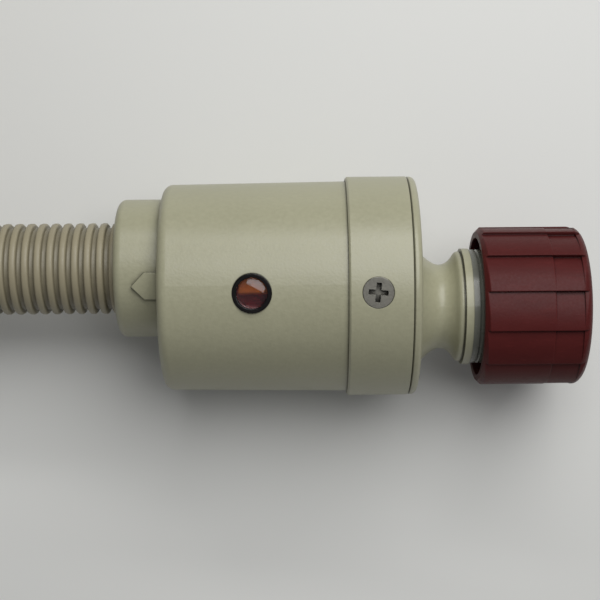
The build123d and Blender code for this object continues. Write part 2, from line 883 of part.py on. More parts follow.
with BuildPart() as outlet_spigot:
    with BuildSketch(profile_plane(outlet_y)):
        with BuildLine():
            Polyline(
                (spigot_end, spigot_bore_radius),
                (spigot_end, spigot_radius),
                (spigot_flange_start, spigot_radius),
                (spigot_flange_start, spigot_flange_radius),
                (pot_rear, spigot_flange_radius),
                (pot_rear, spigot_radius),
                (pot_inside, spigot_radius),
                (pot_inside, spigot_bore_radius),
                close=True,
            )
        make_face()
        for barb in range(spigot_barbs):
            barb_start = spigot_end + barb * spigot_barb_pitch
            with BuildLine():
                Polyline(
                    (barb_start, barb_root_radius),
                    (barb_start + spigot_barb_length, spigot_radius + spigot_barb),
                    (barb_start + spigot_barb_length, barb_root_radius),
                    close=True,
                )
            make_face()
    revolve(axis=turning_axis(outlet_y))
write(outlet_spigot.part, "outlet_spigot")

ferrule_start = spigot_flange_start - ferrule_setback - ferrule_length
ferrule_bore_radius = inner_hose_radius + sliding_gap

with BuildPart() as crimp_ferrule:
    with BuildSketch(station(ferrule_start, outlet_y)):
        Circle(ferrule_bore_radius + ferrule_wall)
        Circle(ferrule_bore_radius, mode=Mode.SUBTRACT)
    extrude(amount=ferrule_length)
write(crimp_ferrule.part, "crimp_ferrule")

# ---------------------------------------------------------------- hose route
# The hose leaves the collar level, sinks to the table and joins a tied coil of two turns,
# an outer and an inner one.  Its last stretch climbs onto the coil, where its fitting lies.
floor_height = hose_radius + tie_thickness
coil_x = -203.5
coil_y = 82.0
coil_entry_angle = -82.5
outer_turn_radius = 113.0
inner_turn_radius = 94.0
turn_step = 30
lead_points = [
    (-89.6, outlet_y, axis_height),
    (-135.5, -15.3, 17.5),
]
tail_heights = [12.6, 20.0, 27.6, 30.4, 32.8, 34.8, 35.6]
tail_swings = [0.0, 0.0, 1.0, 3.0, 4.0, 3.0, 2.0]
coil_steps = 17
lead_end_tuck = 3.5


def coil_point(step, radius, height):
    """A corner of the route: runs between such corners touch a circle of that radius."""
    angle = math.radians(coil_entry_angle - turn_step * step)
    reach = radius / math.cos(math.radians(turn_step / 2))
    return (coil_x + reach * math.cos(angle), coil_y + reach * math.sin(angle), height)


def turn_radius(step):
    """The outer turn closes in on the inner one between steps 7 and 11."""
    share = min(max((step - 7) / 4, 0), 1)
    return outer_turn_radius + (inner_turn_radius - outer_turn_radius) * share


def corner_radii(points):
    """For each corner, the largest arc that its two runs allow."""
    radii = []
    for before, corner, after in zip(points, points[1:], points[2:]):
        arriving = Vector(*corner) - Vector(*before)
        leaving = Vector(*after) - Vector(*corner)
        half_turn = math.radians(arriving.get_angle(leaving)) / 2
        radii.append(0.45 * min(arriving.length, leaving.length) / math.tan(half_turn))
    return radii


lead_route = [
    (jacket_start, outlet_y, axis_height),
    *lead_points,
    coil_point(0, turn_radius(0), floor_height + 1.2),
    coil_point(1, turn_radius(1) - lead_end_tuck, floor_height),
]
tail_route = [coil_point(coil_steps, turn_radius(coil_steps), floor_height)]
for step, (height, swing) in enumerate(zip(tail_heights, tail_swings), coil_steps + 1):
    tail_route.append(coil_point(step, inner_turn_radius + swing, height))

print("lead corner radii", [round(radius) for radius in corner_radii(lead_route)])
print("tail corner radii", [round(radius) for radius in corner_radii(tail_route)])

# ---------------------------------------------------------------- hose tubes
with BuildPart() as hose_jacket:
    with BuildLine():
        jacket_line = FilletPolyline(*lead_route, radius=corner_radii(lead_route))
    with BuildSketch(Plane(origin=jacket_line @ 0, z_dir=jacket_line % 0)):
        Circle(hose_radius)
        Circle(jacket_bore_radius, mode=Mode.SUBTRACT)
    sweep(path=jacket_line)
write(hose_jacket.part, "hose_jacket")
jacket_section = math.pi * (hose_radius**2 - jacket_bore_radius**2)
print("jacket volume share", hose_jacket.part.volume / (jacket_section * jacket_line.length))

inner_start = spigot_flange_start - inner_hose_setback
inner_route = [(inner_start, outlet_y, axis_height), *lead_route[1:]]

with BuildPart() as inner_hose:
    with BuildLine():
        inner_line = FilletPolyline(*inner_route, radius=corner_radii(lead_route))
    with BuildSketch(Plane(origin=inner_line @ 0, z_dir=inner_line % 0)):
        Circle(inner_hose_radius)
        Circle(inner_hose_bore_radius, mode=Mode.SUBTRACT)
    sweep(path=inner_line)
write(inner_hose.part, "inner_hose")

with BuildPart() as hose_tail:
    with BuildLine():
        tail_line = FilletPolyline(*tail_route, radius=corner_radii(tail_route))
    with BuildSketch(Plane(origin=tail_line @ 0, z_dir=tail_line % 0)):
        Circle(hose_radius)
        Circle(jacket_bore_radius, mode=Mode.SUBTRACT)
    sweep(path=tail_line)
write(hose_tail.part, "hose_tail")
tail_length = tail_line.length
print("tail volume share", hose_tail.part.volume / (jacket_section * tail_length))

# ---------------------------------------------------------------- coil and its ties
coil_inside = inner_turn_radius - hose_radius - coil_allowance
coil_outside = outer_turn_radius + hose_radius + coil_allowance

with BuildPart() as hose_coil:
    with BuildSketch(Plane.XY.offset(tie_thickness)):
        with Locations((coil_x, coil_y)):
            Circle(coil_outside)
            Circle(coil_inside, mode=Mode.SUBTRACT)
    extrude(amount=2 * hose_radius)
write(hose_coil.part, "hose_coil")

tie_middle = (coil_inside + coil_outside) / 2
tie_hole_width = coil_outside - coil_inside + 2 * tie_gap

with BuildPart() as coil_ties:
    for angle in tie_angles:
        outwards = Vector(*polar(1, angle))
        tie_origin = Vector(coil_x, coil_y, 0) + outwards * tie_middle
        across = Vector(-outwards.Y, outwards.X, 0)
        tie_plane = Plane(origin=tie_origin, x_dir=outwards, z_dir=across)
        with BuildSketch(tie_plane):
            with Locations((0, -hose_radius - tie_thickness)):
                Rectangle(tie_hole_width + 2 * tie_thickness, 2 * hose_radius + 2 * tie_thickness)
                Rectangle(tie_hole_width, 2 * hose_radius, mode=Mode.SUBTRACT)
        extrude(amount=tie_width / 2, both=True)
write(coil_ties.part, "coil_ties")

# ---------------------------------------------------------------- machine end of the hose
tail_end = tail_line @ 1
tail_heading = tail_line % 1


def along_tail(distance):
    """A plane square to the hose's last run, that far past the hose's end."""
    return Plane(origin=tail_end + tail_heading * distance, x_dir=(0, 0, 1), z_dir=tail_heading)


fitting_side = Vector(0, 0, 1).cross(tail_heading).normalized()
fitting_plane = Plane(origin=tail_end, x_dir=tail_heading, z_dir=fitting_side)
fitting_axis = Axis(tail_end, tail_heading)
ferrule_front = machine_ferrule_length - machine_ferrule_overlap
ferrule_rear = -machine_ferrule_overlap
neck_front = ferrule_front + machine_neck_length
machine_nut_start = neck_front + sliding_gap
machine_head_start = machine_nut_start + machine_nut_back_wall + 2 * sliding_gap
machine_head_front = machine_head_start + machine_head_thickness
machine_washer_front = machine_head_front + washer_thickness
machine_nut_front = machine_nut_start + machine_nut_length

with BuildPart() as machine_ferrule:
    with BuildSketch(fitting_plane):
        with BuildLine():
            Polyline(
                (ferrule_rear, hose_radius + sliding_gap),
                (ferrule_rear, machine_ferrule_radius - machine_ferrule_rear_drop),
                (ferrule_rear + machine_ferrule_rear_edge, machine_ferrule_radius),
                (ferrule_front - machine_ferrule_front_edge, machine_ferrule_radius),
                (ferrule_front, machine_ferrule_radius - machine_ferrule_front_drop),
                (ferrule_front, machine_neck_radius + sliding_gap),
                (sliding_gap, machine_neck_radius + sliding_gap),
                (sliding_gap, hose_radius + sliding_gap),
                close=True,
            )
        make_face()
    revolve(axis=fitting_axis)
write(machine_ferrule.part, "machine_ferrule")

with BuildPart() as machine_tail:
    with BuildSketch(fitting_plane):
        with BuildLine():
            Polyline(
                (2 * sliding_gap, spigot_bore_radius),
                (2 * sliding_gap, machine_neck_radius),
                (machine_head_start, machine_neck_radius),
                (machine_head_start, tailpiece_radius),
                (machine_head_front, tailpiece_radius),
                (machine_head_front, spigot_bore_radius),
                close=True,
            )
        make_face()
    revolve(axis=fitting_axis)
write(machine_tail.part, "machine_tail")

with BuildPart() as machine_washer:
    with BuildSketch(along_tail(machine_head_front)):
        Circle(washer_radius)
        Circle(washer_bore_radius, mode=Mode.SUBTRACT)
    extrude(amount=washer_thickness)
write(machine_washer.part, "machine_washer")

machine_thread_start = machine_washer_front
machine_thread = thread_profile(
    machine_thread_start, thread_minor_radius, thread_major_radius, machine_thread_turns
)
machine_cavity_start = machine_nut_start + machine_nut_back_wall
machine_nut_bore = machine_neck_radius + 3 * sliding_gap
rib_start = machine_nut_start + machine_nut_back_edge
rib_end = machine_nut_front - machine_nut_front_edge - rib_depth

with BuildPart() as machine_nut:
    with BuildSketch(fitting_plane):
        with BuildLine():
            Polyline(
                (machine_nut_start, machine_nut_bore),
                (machine_nut_start, machine_nut_radius - machine_nut_back_edge),
                (rib_start, machine_nut_radius),
                (machine_nut_front - machine_nut_front_edge, machine_nut_radius),
                (machine_nut_front, machine_nut_radius - machine_nut_front_edge),
                (machine_nut_front, thread_minor_radius + thread_mouth_chamfer),
                (machine_nut_front - thread_mouth_chamfer, thread_minor_radius),
                *reversed(machine_thread),
                (machine_thread_start, thread_minor_radius),
                (machine_thread_start, thread_relief_radius),
                (machine_cavity_start, thread_relief_radius),
                (machine_cavity_start, machine_nut_bore),
                close=True,
            )
        make_face()
    revolve(axis=fitting_axis)
    with BuildSketch(along_tail(rib_start)):
        with PolarLocations(machine_nut_radius, machine_nut_ribs):
            Rectangle(2 * rib_depth, rib_width)
    extrude(amount=rib_end - rib_start, mode=Mode.SUBTRACT)
write(machine_nut.part, "machine_nut")

# ---------------------------------------------------------------- figures for the mounts
thread_middle = thread_start + (thread_turns * thread_pitch + thread_pitch / 4) / 2
machine_thread_length = machine_thread_turns * thread_pitch + thread_pitch / 4
machine_thread_middle = tail_end + tail_heading * (machine_thread_start + machine_thread_length / 2)
print("inlet thread middle", thread_middle, inlet_y, axis_height)
print("inlet thread length", thread_turns * thread_pitch + thread_pitch / 4)
print("machine thread middle", [round(value, 4) for value in machine_thread_middle])
print("machine thread heading", [round(value, 6) for value in tail_heading])
print("machine thread length", machine_thread_length)
print("travel", trip_travel, "swelling start", swelling_start, "spring rest", retainer_start)
print("tail length", tail_length, "lead length", jacket_line.length)
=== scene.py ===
"""Water-stop valve on an appliance inlet hose: its finishes, its hose and its studio, in metres.

The valve lies on a table, z = 0.  +X runs from the hose to the tap nut, +Y is across and +Z is up.
"""

import math

import bmesh
import bpy
from bpy.props import FloatProperty, FloatVectorProperty, IntProperty, PointerProperty
from mathutils import Matrix, Vector


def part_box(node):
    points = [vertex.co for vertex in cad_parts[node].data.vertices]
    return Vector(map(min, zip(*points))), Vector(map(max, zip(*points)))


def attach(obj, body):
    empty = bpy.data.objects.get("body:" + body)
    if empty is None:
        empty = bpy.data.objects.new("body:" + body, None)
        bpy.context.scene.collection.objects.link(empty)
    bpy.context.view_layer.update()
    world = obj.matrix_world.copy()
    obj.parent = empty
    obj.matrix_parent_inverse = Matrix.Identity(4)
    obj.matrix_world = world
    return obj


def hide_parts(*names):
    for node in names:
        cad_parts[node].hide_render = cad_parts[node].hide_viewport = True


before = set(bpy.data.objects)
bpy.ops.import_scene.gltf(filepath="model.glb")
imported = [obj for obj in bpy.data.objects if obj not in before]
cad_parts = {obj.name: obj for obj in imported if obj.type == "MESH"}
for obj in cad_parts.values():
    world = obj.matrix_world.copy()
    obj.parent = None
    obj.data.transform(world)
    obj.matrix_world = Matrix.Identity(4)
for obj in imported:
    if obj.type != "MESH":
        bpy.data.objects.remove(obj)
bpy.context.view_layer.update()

bl_info = {
    "name": "Water-stop hose valve",
    "version": (1, 0, 0),
    "blender": (4, 5, 0),
    "location": "View3D > Sidebar > Water-stop",
    "description": "Finishes, hose and studio for a water-stop valve on an appliance inlet hose",
    "category": "Object",
}

MM = 0.001


# ---------------------------------------------------------------- small helpers
def linear(colour):
    """The linear RGB of an sRGB hex colour such as "b4b09a"."""
    channels = [int(colour[start : start + 2], 16) / 255 for start in (0, 2, 4)]
    return tuple(c / 12.92 if c <= 0.04045 else ((c + 0.055) / 1.055) ** 2.4 for c in channels)


def shade(colour, factor):
    """That linear colour, lighter or darker, with its alpha."""
    return tuple(min(channel * factor, 1.0) for channel in colour[:3]) + (1.0,)


def grain_scale(size_mm):
    """The Scale of a texture on Object coordinates whose features are that large."""
    return 1.0 / (size_mm * MM)


def add_node(tree, kind, inputs=None, **settings):
    """Adds a node; each input is given a value, or the socket that feeds it."""
    made = tree.nodes.new(kind)
    for name, value in settings.items():
        setattr(made, name, value)
    for name, value in (inputs or {}).items():
        if isinstance(value, bpy.types.NodeSocket):
            tree.links.new(value, made.inputs[name])
        else:
            made.inputs[name].default_value = value
    return made


def start_material(name):
    """A material with only its output, the object's coordinates and the output node."""
    made = bpy.data.materials.new(name)
    made.use_nodes = True
    tree = made.node_tree
    tree.nodes.clear()
    output = add_node(tree, "ShaderNodeOutputMaterial")
    coordinates = add_node(tree, "ShaderNodeTexCoord").outputs["Object"]
    return made, tree, coordinates, output


def finish_material(tree, output, surface):
    """Makes the surface's shader from its inputs, and joins it to the output."""
    shader = add_node(tree, "ShaderNodeBsdfPrincipled", surface)
    tree.links.new(shader.outputs["BSDF"], output.inputs["Surface"])


def noise(tree, vector, size_mm, detail, **others):
    """The value of a noise texture whose features are that large."""
    inputs = {"Vector": vector, "Scale": grain_scale(size_mm), "Detail": detail, **others}
    return add_node(tree, "ShaderNodeTexNoise", inputs).outputs["Fac"]


def blend(tree, factor, first, second, **settings):
    """The first colour, giving way to the second as the factor rises."""
    inputs = {"Factor": factor, "A": first, "B": second}
    return add_node(tree, "ShaderNodeMix", inputs, data_type="RGBA", **settings).outputs["Result"]


def remap(tree, value, source, target=(0.0, 1.0), **settings):
    """The value, with the source range carried over to the target range."""
    inputs = {
        "Value": value,
        "From Min": source[0],
        "From Max": source[1],
        "To Min": target[0],
        "To Max": target[1],
    }
    return add_node(tree, "ShaderNodeMapRange", inputs, **settings).outputs["Result"]


def bump(tree, height, strength, depth_mm, normal=None, **settings):
    """The normal of a surface that the height roughens, on top of the normal given."""
    inputs = {"Strength": strength, "Distance": depth_mm * MM, "Height": height}
    if normal is not None:
        inputs["Normal"] = normal
    return add_node(tree, "ShaderNodeBump", inputs, **settings).outputs["Normal"]


def rounded_edges(tree, radius_mm):
    """The normal of a surface whose edges look rounded to that radius."""
    return add_node(tree, "ShaderNodeBevel", {"Radius": radius_mm * MM}, samples=4).outputs["Normal"]


def painted_seam_shade(tree, colour, reach_mm=1.2, floor=0.3):
    """The colour socket with painted shade where a surface is hemmed in: seams, recesses and inner corners,
    darkened by ambient occlusion.
    """
    openness = add_node(tree, "ShaderNodeAmbientOcclusion", {"Distance": reach_mm * MM}, samples=6)
    # Painted shade: the ambient occlusion darkens the colour, down to the floor share, in seams and recesses.
    painted_shade = remap(tree, openness.outputs["AO"], (0.45, 0.9), (floor, 1.0))
    return blend(tree, 1.0, colour, painted_shade, blend_type="MULTIPLY")


def deselect_all():
    """Leaves nothing selected, so that an operator acts only on what comes next."""
    if bpy.context.object and bpy.context.object.mode != "OBJECT":
        bpy.ops.object.mode_set(mode="OBJECT")
    bpy.ops.object.select_all(action="DESELECT")


def paint(node_name, material):
    """Gives a CAD node its finish, in the slots that it has."""
    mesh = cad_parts[node_name].data
    if not mesh.materials:
        mesh.materials.append(material)
    for index in range(len(mesh.materials)):
        mesh.materials[index] = material


def new_mesh_object(name, vertices, faces, material):
    """A smooth mesh object at the origin."""
    mesh = bpy.data.meshes.new(name)
    mesh.from_pydata(vertices, [], faces)
    mesh.validate()
    mesh.materials.append(material)
    mesh.polygons.foreach_set("use_smooth", [True] * len(mesh.polygons))
    made = bpy.data.objects.new(name, mesh)
    bpy.context.scene.collection.objects.link(made)
    return made


# ---------------------------------------------------------------- settings that a user would change
def colour_setting(name, description, hex_colour):
    """A colour property that starts from an sRGB hex colour."""
    return FloatVectorProperty(
        name=name, description=description, subtype="COLOR", default=linear(hex_colour), min=0.0, max=1.0
    )


def length_setting(name, description, millimetres):
    """A length property that starts from a size in millimetres."""
    return FloatProperty(
        name=name, description=description, subtype="DISTANCE", unit="LENGTH", default=millimetres * MM
    )


class HoseSettings(bpy.types.PropertyGroup):
    """Sizes of the corrugated hose."""

    radius: length_setting("Crest radius", "Radius over the hose's ribs", 9.3)
    rib_depth: length_setting("Rib depth", "How far the valleys lie below the crests", 1.0)
    rib_pitch: length_setting("Rib pitch", "Length of one rib and one valley", 2.48)
    inner_radius: length_setting("Inner hose radius", "Outer radius of the pressure hose", 7.0)
    sides: IntProperty(name="Sides", description="Faces round the hose", default=26, min=8)
    jacket: colour_setting("Jacket", "Colour of the corrugated jacket", "928a72")
    inner: colour_setting("Inner hose", "Colour of the pressure hose", "2a2b2c")
    strap: colour_setting("Straps", "Colour of the coil's straps", "1c1d20")


class HousingSettings(bpy.types.PropertyGroup):
    """Colours of the housing and its window."""

    housing: colour_setting("Housing", "Colour of the moulded housing", "a19f85")
    bezel: colour_setting("Bezel", "Colour of the ring round the window", "0d0a09")
    # The flag's amber is painted light on its half towards the lamps; its red is the plastic itself.
    flag_amber_painted_light: colour_setting("Flag, running", "Colour of the flag's far half", "c07a28")
    flag_red: colour_setting("Flag, stopped", "Colour of the flag's near half", "4c0b13")
    screw: colour_setting("Screws", "Colour of the zinc-plated screws", "817f77")


class UnionSettings(bpy.types.PropertyGroup):
    """Colours of the tap union and the machine end."""

    nut: colour_setting("Nut", "Colour of the moulded nuts", "4e1d1c")
    thrust_ring: colour_setting("Thrust ring", "Colour of the grey ring behind the nut", "6c6d64")


class StudioSettings(bpy.types.PropertyGroup):
    """The camera, the light and the table."""

    view_height: length_setting("Camera height", "Height of the camera above the housing's axis", 268.0)
    view_width: length_setting("View width", "Width of the view at the housing's axis", 122.95)
    view_x: length_setting("View middle X", "Middle of the view along the housing", -10.15)
    view_y: length_setting("View middle Y", "Middle of the view across the housing", -2.8)
    view_turn: FloatProperty(
        name="View turn", description="Turn of the camera about the vertical", subtype="ANGLE",
        unit="ROTATION", default=math.radians(-0.5),
    )
    key_power: FloatProperty(
        name="Key light", description="Power of the soft light", subtype="POWER", unit="POWER", default=3.0
    )
    sky_strength: FloatProperty(
        name="Sky strength", description="Strength of the even light all round", default=0.16, min=0.0
    )
    table: colour_setting("Table", "Colour of the table", "dcdcd8")


class ValveSettings(bpy.types.PropertyGroup):
    """All of the valve's settings."""

    hose: PointerProperty(type=HoseSettings)
    housing: PointerProperty(type=HousingSettings)
    union: PointerProperty(type=UnionSettings)
    studio: PointerProperty(type=StudioSettings)


# ---------------------------------------------------------------- materials
def moulded_abs(name, colour, grain_mm=0.5, grain=0.05, gloss=0.36):
    """Moulded ABS with a fine spark-eroded grain: an even colour, a low sheen and soft broad highlights."""
    made, tree, coordinates, output = start_material(name)
    mottle = noise(tree, coordinates, 16, 3.0)
    speck = noise(tree, coordinates, 0.9, 4.0)
    tint = blend(tree, mottle, shade(colour, 0.95), shade(colour, 1.05))
    specks = remap(tree, speck, (0.3, 0.7), (0.96, 1.03))
    coloured = blend(tree, 1.0, tint, specks, blend_type="MULTIPLY")
    roughness = remap(tree, speck, (0.3, 0.7), (gloss - 0.04, gloss + 0.06))
    sink = noise(tree, coordinates, 9, 2.0)
    fine = noise(tree, coordinates, grain_mm, 3.0)
    rounded = rounded_edges(tree, 0.25)
    waved = bump(tree, sink, 0.25, 0.35, rounded)
    grained = bump(tree, fine, 0.6, grain, waved)
    finish_material(tree, output, {
        "Base Color": painted_seam_shade(tree, coloured),
        "Roughness": roughness,
        "IOR": 1.53,
        "Normal": grained,
    })
    return made


def extruded_polypropylene(name, colour):
    """Corrugated polypropylene: slightly waxy, darker in the valleys and lighter on the crests."""
    made, tree, coordinates, output = start_material(name)
    mottle = noise(tree, coordinates, 12, 4.0)
    tint = blend(tree, mottle, shade(colour, 0.92), shade(colour, 1.07))
    height = add_node(tree, "ShaderNodeAttribute", attribute_name="rib_height", attribute_type="GEOMETRY")
    # Darker in the valleys and lighter on the crests, following the rib height.
    rib_tone = remap(tree, height.outputs["Fac"], (0.0, 1.0), (0.84, 1.06))
    coloured = blend(tree, 1.0, tint, rib_tone, blend_type="MULTIPLY")
    fine = noise(tree, coordinates, 0.6, 3.0)
    roughness = remap(tree, fine, (0.3, 0.7), (0.38, 0.5))
    grained = bump(tree, fine, 0.5, 0.03)
    finish_material(tree, output, {
        "Base Color": painted_seam_shade(tree, coloured, 1.2, 0.62),
        "Roughness": roughness,
        "IOR": 1.49,
        "Normal": grained,
    })
    return made


def filled_nylon(name, colour):
    """Moulded glass-filled nylon: dark and satin, with flow grain, scuffs, and edges painted lighter: partly
    wear, partly a painted highlight where the rounded edges catch light.
    """
    made, tree, coordinates, output = start_material(name)
    stretched = add_node(
        tree, "ShaderNodeMapping", {"Vector": coordinates, "Scale": (0.35, 1.0, 1.0)}
    ).outputs["Vector"]
    flow = noise(tree, stretched, 2.2, 5.0)
    fine = noise(tree, coordinates, 0.45, 3.0)
    tint = blend(tree, flow, shade(colour, 0.82), shade(colour, 1.18))
    scuff = noise(tree, stretched, 0.9, 6.0, Roughness=0.7)
    scuffed = remap(tree, scuff, (0.55, 0.75), (0.0, 0.18))
    worn = blend(tree, scuffed, tint, shade(colour, 2.2))
    rounded = rounded_edges(tree, 0.35)
    flat = add_node(tree, "ShaderNodeNewGeometry").outputs["Normal"]
    turned = add_node(
        tree, "ShaderNodeVectorMath", {0: rounded, 1: flat}, operation="DOT_PRODUCT"
    )
    # Edges painted lighter: partly wear, partly a painted highlight where rounded edges catch light.
    edge_wear_and_highlight = remap(tree, turned.outputs["Value"], (0.99, 0.86), (0.0, 0.45))
    worn_and_highlit_edges = blend(tree, edge_wear_and_highlight, worn, shade(colour, 2.1))
    roughness = remap(tree, fine, (0.3, 0.7), (0.36, 0.48))
    waved = bump(tree, flow, 0.3, 0.12, rounded)
    grained = bump(tree, fine, 0.5, 0.03, waved)
    finish_material(tree, output, {
        "Base Color": painted_seam_shade(tree, worn_and_highlit_edges, 1.0, 0.2),
        "Roughness": roughness,
        "IOR": 1.53,
        "Specular IOR Level": 0.12,
        "Normal": grained,
    })
    return made


def moulded_acetal(name, colour, roughness=0.2):
    """Moulded acetal: dense and slippery, so it shines in narrow highlights."""
    made, tree, coordinates, output = start_material(name)
    cloud = noise(tree, coordinates, 4, 3.0)
    tint = blend(tree, cloud, shade(colour, 0.93), shade(colour, 1.07))
    smear = remap(tree, cloud, (0.3, 0.7), (roughness, roughness + 0.12))
    rounded = rounded_edges(tree, 0.15)
    waved = bump(tree, cloud, 0.2, 0.05, rounded)
    finish_material(tree, output, {
        "Base Color": tint,
        "Roughness": smear,
        "IOR": 1.48,
        "Normal": waved,
    })
    return made


def clear_acrylic(name):
    """Cast acrylic: polished, with the faintest pink cast and ripple."""
    made, tree, coordinates, output = start_material(name)
    ripple = noise(tree, coordinates, 2.5, 1.0)
    rippled = bump(tree, ripple, 0.15, 0.04)
    finish_material(tree, output, {
        "Base Color": (*linear("f7dfdf"), 1.0),
        "Roughness": 0.03,
        "IOR": 1.49,
        "Transmission Weight": 1.0,
        "Normal": rippled,
    })
    return made


def flag_with_painted_light(name, painted_light_amber, red_plastic, middle, start):
    """The indicator flag: dark red moulded polystyrene, with painted light: its half towards the lamps, +Y,
    is painted amber from start forwards.
    """
    made, tree, coordinates, output = start_material(name)
    place = add_node(tree, "ShaderNodeSeparateXYZ", {"Vector": coordinates})
    wander = noise(tree, coordinates, 1.2, 2.0)
    side_blur = 0.35 * MM
    start_blur = 0.2 * MM
    across = remap(
        tree, place.outputs["Y"], (middle - side_blur, middle + side_blur), interpolation_type="SMOOTHSTEP"
    )
    along = remap(tree, place.outputs["X"], (start - start_blur, start + start_blur))
    share = add_node(tree, "ShaderNodeMath", {0: across, 1: along}, operation="MULTIPLY")
    red = blend(tree, wander, shade(red_plastic, 0.6), shade(red_plastic, 1.5))
    amber = blend(tree, wander, shade(painted_light_amber, 0.75), shade(painted_light_amber, 1.25))
    # Painted light: amber on the flag's half towards the lamps, the red plastic on its other half.
    coloured = blend(tree, share.outputs["Value"], red, amber)
    finish_material(tree, output, {
        "Base Color": coloured,
        "Roughness": 0.25,
        "IOR": 1.55,
    })
    return made


def worked_metal(name, colour, roughness, grain_mm, bump_mm):
    """Plated, turned or drawn metal: the tint, the grain and the roughness say which."""
    made, tree, coordinates, output = start_material(name)
    grain = noise(tree, coordinates, grain_mm, 4.0)
    cloud = noise(tree, coordinates, 2.5, 3.0)
    tint = blend(tree, cloud, shade(colour, 0.72), shade(colour, 1.12))
    dull = remap(tree, grain, (0.3, 0.7), (roughness - 0.06, roughness + 0.1))
    rounded = rounded_edges(tree, 0.12)
    grained = bump(tree, grain, 0.4, bump_mm, rounded)
    finish_material(tree, output, {
        "Base Color": painted_seam_shade(tree, tint, 1.0, 0.12),
        "Metallic": 1.0,
        "Roughness": dull,
        "Normal": grained,
    })
    return made


def cured_rubber(name, colour):
    """Vulcanised EPDM rubber: nearly black, matt, with a fine bloom."""
    made, tree, coordinates, output = start_material(name)
    bloom = noise(tree, coordinates, 1.4, 5.0)
    tint = blend(tree, bloom, shade(colour, 0.8), shade(colour, 1.5))
    grained = bump(tree, bloom, 0.5, 0.04)
    finish_material(tree, output, {
        "Base Color": tint,
        "Roughness": 0.68,
        "IOR": 1.5,
        "Normal": grained,
    })
    return made


def sintered_ferrite(name, colour):
    """Pressed and fired ferrite: charcoal grey, matt, finely pitted."""
    made, tree, coordinates, output = start_material(name)
    pits = add_node(
        tree, "ShaderNodeTexVoronoi", {"Vector": coordinates, "Scale": grain_scale(0.7)}
    )
    tint = blend(tree, pits.outputs["Distance"], shade(colour, 0.7), shade(colour, 1.3))
    pitted = bump(tree, pits.outputs["Distance"], 0.5, 0.06)
    finish_material(tree, output, {
        "Base Color": tint,
        "Roughness": 0.6,
        "IOR": 2.0,
        "Normal": pitted,
    })
    return made


def pressed_cellulose(name, colour):
    """Compressed cellulose sponge: dry, buff and fibrous, with flattened pores."""
    made, tree, coordinates, output = start_material(name)
    squeezed = add_node(
        tree, "ShaderNodeMapping", {"Vector": coordinates, "Scale": (4.0, 1.0, 1.0)}
    ).outputs["Vector"]
    pores = noise(tree, squeezed, 1.6, 6.0)
    tint = blend(tree, pores, shade(colour, 0.6), shade(colour, 1.25))
    pored = bump(tree, pores, 0.9, 0.3)
    finish_material(tree, output, {
        "Base Color": tint,
        "Roughness": 0.9,
        "IOR": 1.45,
        "Normal": pored,
    })
    return made


def looped_nylon(name, colour):
    """Hook-and-loop strap: black nylon loops, which catch light only at their tops."""
    made, tree, coordinates, output = start_material(name)
    loops = add_node(
        tree, "ShaderNodeTexVoronoi", {"Vector": coordinates, "Scale": grain_scale(0.8), "Randomness": 0.8}
    )
    # Painted highlight and shade: the loops' tops lighter, the hollows between them darker.
    tint = blend(tree, loops.outputs["Distance"], shade(colour, 1.9), shade(colour, 0.5))
    looped = bump(tree, loops.outputs["Distance"], 0.8, 0.25, invert=True)
    finish_material(tree, output, {
        "Base Color": tint,
        "Roughness": 0.8,
        "IOR": 1.5,
        "Sheen Weight": 0.35,
        "Sheen Roughness": 0.4,
        "Normal": looped,
    })
    return made


def laminate_table(colour):
    """A pale laminate table: nearly white, with a soft reflection."""
    made, tree, coordinates, output = start_material("laminate_table")
    cloud = noise(tree, coordinates, 180, 2.0)
    tint = blend(tree, cloud, shade(colour, 0.985), shade(colour, 1.015))
    finish_material(tree, output, {
        "Base Color": tint,
        "Roughness": 0.5,
        "IOR": 1.45,
    })
    return made


# ---------------------------------------------------------------- the hose's route
HOSE_START = Vector((-40.75, 4.0, 22.25)) * MM
INNER_HOSE_START = Vector((-26.6, 4.0, 22.25)) * MM
LEAD_POINTS = [(-64.0, 4.0, 22.25), (-89.6, 4.0, 22.25), (-135.5, -15.3, 17.5)]
TAIL_HEIGHTS = [12.6, 20.0, 27.6, 30.4, 32.8, 34.8, 35.6]
TAIL_SWINGS = [0.0, 0.0, 1.0, 3.0, 4.0, 3.0, 2.0]
COIL_CENTRE = Vector((-203.5, 82.0, 0.0)) * MM
COIL_ENTRY_ANGLE = -82.5
COIL_STEPS = 17
TURN_STEP = 30.0
OUTER_TURN = 113.0
INNER_TURN = 94.0
FLOOR_HEIGHT = 10.1

# One rib as (share of the pitch, height from valley to crest), finer on the ribs near the collar.
NEAR_RIB = (
    (0.02, 0.0), (0.10, 0.0), (0.32, 0.0), (0.36, 0.08), (0.39, 0.45), (0.42, 0.74), (0.48, 0.93),
    (0.58, 1.0), (0.80, 1.0), (0.89, 0.93), (0.95, 0.74), (0.975, 0.45), (0.995, 0.08),
)
FAR_RIB = ((0.03, 0.0), (0.37, 0.0), (0.44, 0.72), (0.56, 1.0), (0.84, 1.0), (0.96, 0.72))
NEAR_RIBS = 24
INNER_HOSE_STEPS = 240
INNER_HOSE_SIDES = 20

STRAP_ANGLES = (142.0, 222.0)
STRAP_WIDTH = 12.0 * MM
STRAP_THICKNESS = 0.8 * MM
STRAP_WALL = 0.98 * STRAP_THICKNESS
STRAP_EDGE = 0.15 * MM
STRAP_SIDES = 56


def coil_point(step, radius, height):
    """A corner of the route: runs between such corners touch a circle of that radius."""
    angle = math.radians(COIL_ENTRY_ANGLE - TURN_STEP * step)
    reach = radius * MM / math.cos(math.radians(TURN_STEP / 2))
    return COIL_CENTRE + Vector((reach * math.cos(angle), reach * math.sin(angle), height * MM))


